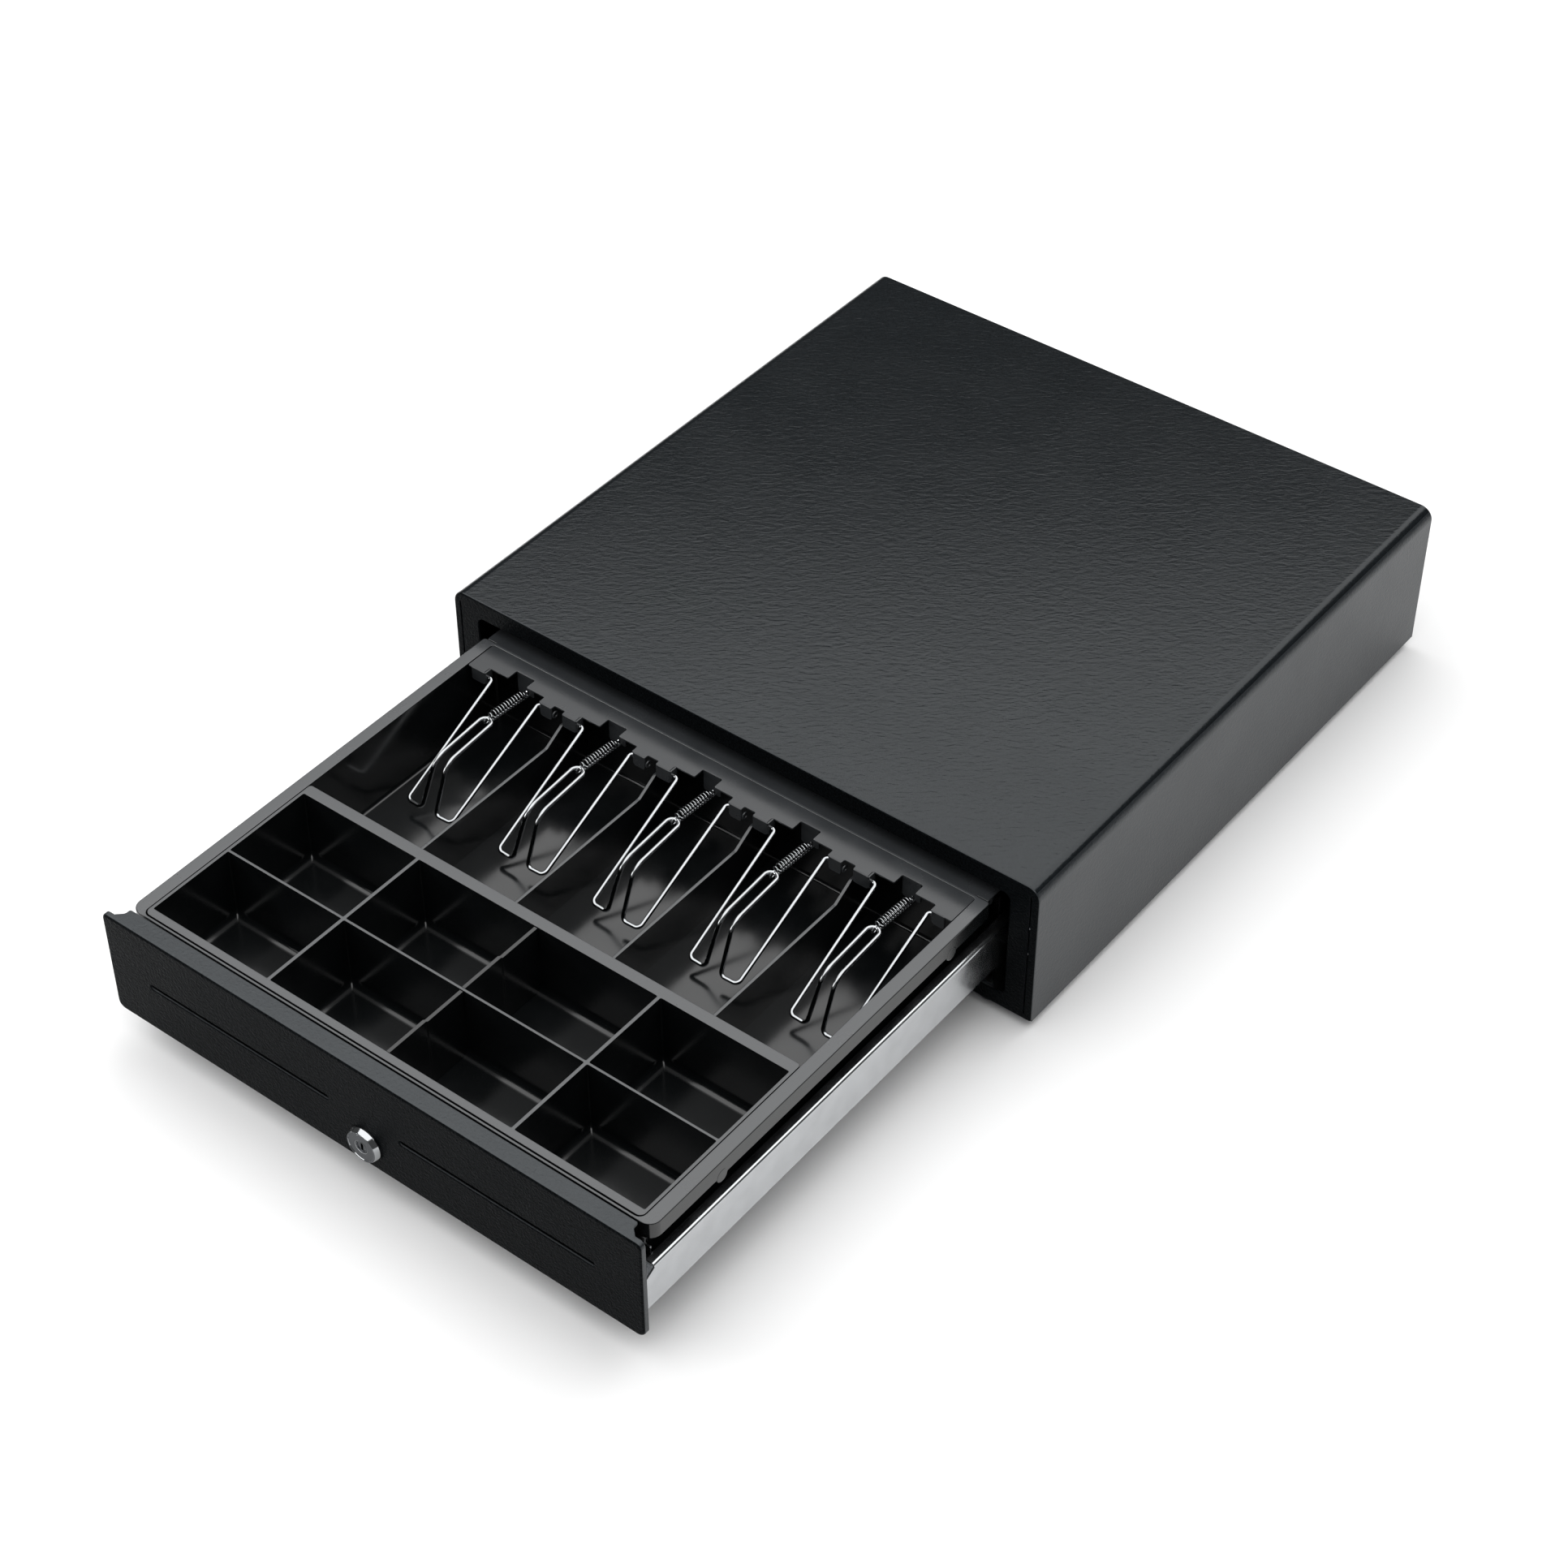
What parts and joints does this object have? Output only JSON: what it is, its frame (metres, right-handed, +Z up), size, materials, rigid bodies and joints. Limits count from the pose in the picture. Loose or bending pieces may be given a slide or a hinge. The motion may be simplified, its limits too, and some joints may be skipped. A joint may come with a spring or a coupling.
{
  "type": "cash register drawer",
  "caption": "Steel point-of-sale cash drawer standing open, with note bays under sprung wire clips, coin cups, a key lock and a solenoid latch.",
  "frame": {"origin": "on the floor under the middle of the open unit, housing and pulled-out drawer together", "axes": "+Z up, +Y from the drawer front towards the back of the housing, +X to the right as the cashier faces the drawer front"},
  "size_m": [0.41, 0.716, 0.1038],
  "materials": {
    "black_powder_coat": "textured black powder coat",
    "zinc_plated_steel": "bright zinc plate",
    "bright_steel": "plain bright steel",
    "chrome_wire": "bright chrome plate",
    "satin_chrome": "satin chrome plate",
    "black_rubber": "matte",
    "white_nylon": "satin moulded",
    "black_plastic": "satin moulded",
    "coil_tape": "insulating tape",
    "black_abs": "polished moulding",
    "grey_painted_steel": "satin paint"
  },
  "bodies": {
    "housing": {"housing_cover": "black_powder_coat", "base_plate": "zinc_plated_steel", "rear_panel": "black_powder_coat", "foot_front_left": "black_rubber", "foot_front_right": "black_rubber", "foot_rear_left": "black_rubber", "foot_rear_right": "black_rubber", "rear_screw_1": "zinc_plated_steel", "rear_screw_2": "zinc_plated_steel", "rear_screw_3": "zinc_plated_steel", "rear_screw_4": "zinc_plated_steel", "rail_left": "zinc_plated_steel", "rail_right": "zinc_plated_steel", "roller_bracket_left": "zinc_plated_steel", "roller_bracket_right": "zinc_plated_steel", "front_axle_left": "bright_steel", "front_axle_right": "bright_steel", "latch_bracket": "zinc_plated_steel", "latch_pin": "bright_steel", "solenoid_coil": "coil_tape", "solenoid_frame": "zinc_plated_steel", "plunger_spring": "bright_steel", "kick_spring_post": "zinc_plated_steel", "kick_spring": "bright_steel", "drawer_switch": "black_plastic", "lock_keeper": "zinc_plated_steel", "printer_port": "black_plastic"},
    "front_roller_left": {"front_roller_left": "white_nylon"},
    "front_roller_right": {"front_roller_right": "white_nylon"},
    "latch_lever": {"latch_lever": "zinc_plated_steel"},
    "solenoid_plunger": {"solenoid_plunger": "bright_steel"},
    "drawer": {"drawer_front": "black_powder_coat", "drawer_pan": "zinc_plated_steel", "drawer_rear_wall": "zinc_plated_steel", "striker": "zinc_plated_steel", "rear_axle_left": "bright_steel", "rear_axle_right": "bright_steel", "lock_barrel": "chrome_wire", "lock_nut": "bright_steel", "till_tray": "black_abs", "coin_insert": "black_abs", "coin_divider_front": "black_abs", "coin_divider_rear": "black_abs", "clip_bracket": "grey_painted_steel", "clip_spring_1": "bright_steel", "clip_spring_2": "bright_steel", "clip_spring_3": "bright_steel", "clip_spring_4": "bright_steel", "clip_spring_5": "bright_steel"},
    "rear_roller_left": {"rear_roller_left": "white_nylon"},
    "rear_roller_right": {"rear_roller_right": "white_nylon"},
    "lock_plug": {"lock_plug": "satin_chrome", "lock_cam": "zinc_plated_steel"},
    "note_clip_1": {"note_clip_1": "chrome_wire"},
    "note_clip_2": {"note_clip_2": "chrome_wire"},
    "note_clip_3": {"note_clip_3": "chrome_wire"},
    "note_clip_4": {"note_clip_4": "chrome_wire"},
    "note_clip_5": {"note_clip_5": "chrome_wire"}
  },
  "joints": [
    {"name": "drawer_slide", "type": "slide", "parent": "housing", "child": "drawer", "axis": [0, -1, 0], "range_m": [-0.3, 0], "deforming": ["kick_spring"]},
    {"name": "front_roller_left_spin", "type": "hinge", "parent": "housing", "child": "front_roller_left", "pos_m": [-0.168, -0.038, 0.0242], "axis": [1, 0, 0], "continuous": true},
    {"name": "rear_roller_left_spin", "type": "hinge", "parent": "drawer", "child": "rear_roller_left", "pos_m": [-0.187, 0.03, 0.049], "axis": [1, 0, 0], "continuous": true},
    {"name": "front_roller_right_spin", "type": "hinge", "parent": "housing", "child": "front_roller_right", "pos_m": [0.168, -0.038, 0.0242], "axis": [1, 0, 0], "continuous": true},
    {"name": "rear_roller_right_spin", "type": "hinge", "parent": "drawer", "child": "rear_roller_right", "pos_m": [0.187, 0.03, 0.049], "axis": [1, 0, 0], "continuous": true},
    {"name": "lock_turn", "type": "hinge", "parent": "drawer", "child": "lock_plug", "pos_m": [0, -0.358, 0.0353], "axis": [0, -1, 0], "range_deg": [-90, 90]},
    {"name": "note_clip_1_hinge", "type": "hinge", "parent": "drawer", "child": "note_clip_1", "pos_m": [-0.1362, -0.0799, 0.0795], "axis": [-1, 0, 0], "range_deg": [0, 75], "stiffness_Nm_per_rad": 0.02, "springref_deg": -28.65, "deforming": ["clip_spring_1"]},
    {"name": "note_clip_2_hinge", "type": "hinge", "parent": "drawer", "child": "note_clip_2", "pos_m": [-0.0681, -0.0799, 0.0795], "axis": [-1, 0, 0], "range_deg": [0, 75], "stiffness_Nm_per_rad": 0.02, "springref_deg": -28.65, "deforming": ["clip_spring_2"]},
    {"name": "note_clip_3_hinge", "type": "hinge", "parent": "drawer", "child": "note_clip_3", "pos_m": [0, -0.0799, 0.0795], "axis": [-1, 0, 0], "range_deg": [0, 75], "stiffness_Nm_per_rad": 0.02, "springref_deg": -28.65, "deforming": ["clip_spring_3"]},
    {"name": "note_clip_4_hinge", "type": "hinge", "parent": "drawer", "child": "note_clip_4", "pos_m": [0.0681, -0.0799, 0.0795], "axis": [-1, 0, 0], "range_deg": [0, 75], "stiffness_Nm_per_rad": 0.02, "springref_deg": -28.65, "deforming": ["clip_spring_4"]},
    {"name": "note_clip_5_hinge", "type": "hinge", "parent": "drawer", "child": "note_clip_5", "pos_m": [0.1362, -0.0799, 0.0795], "axis": [-1, 0, 0], "range_deg": [0, 75], "stiffness_Nm_per_rad": 0.02, "springref_deg": -28.65, "deforming": ["clip_spring_5"]},
    {"name": "plunger_slide", "type": "slide", "parent": "housing", "child": "solenoid_plunger", "axis": [0, 0, -1], "range_m": [0, 0.0042], "stiffness_N_per_m": 200, "springref_m": -0.003, "deforming": ["plunger_spring"]},
    {"name": "latch_lever_hinge", "type": "hinge", "parent": "housing", "child": "latch_lever", "pos_m": [0, 0.311, 0.064], "axis": [-1, 0, 0], "range_deg": [0, 10.1]}
  ],
  "couplings": [
    {"joint": "front_roller_left_spin", "follows": "drawer_slide", "rad_per_m": 125},
    {"joint": "rear_roller_left_spin", "follows": "drawer_slide", "rad_per_m": 117.65},
    {"joint": "front_roller_right_spin", "follows": "drawer_slide", "rad_per_m": 125},
    {"joint": "rear_roller_right_spin", "follows": "drawer_slide", "rad_per_m": 117.65},
    {"joint": "latch_lever_hinge", "follows": "plunger_slide", "rad_per_m": 41.667}
  ]
}
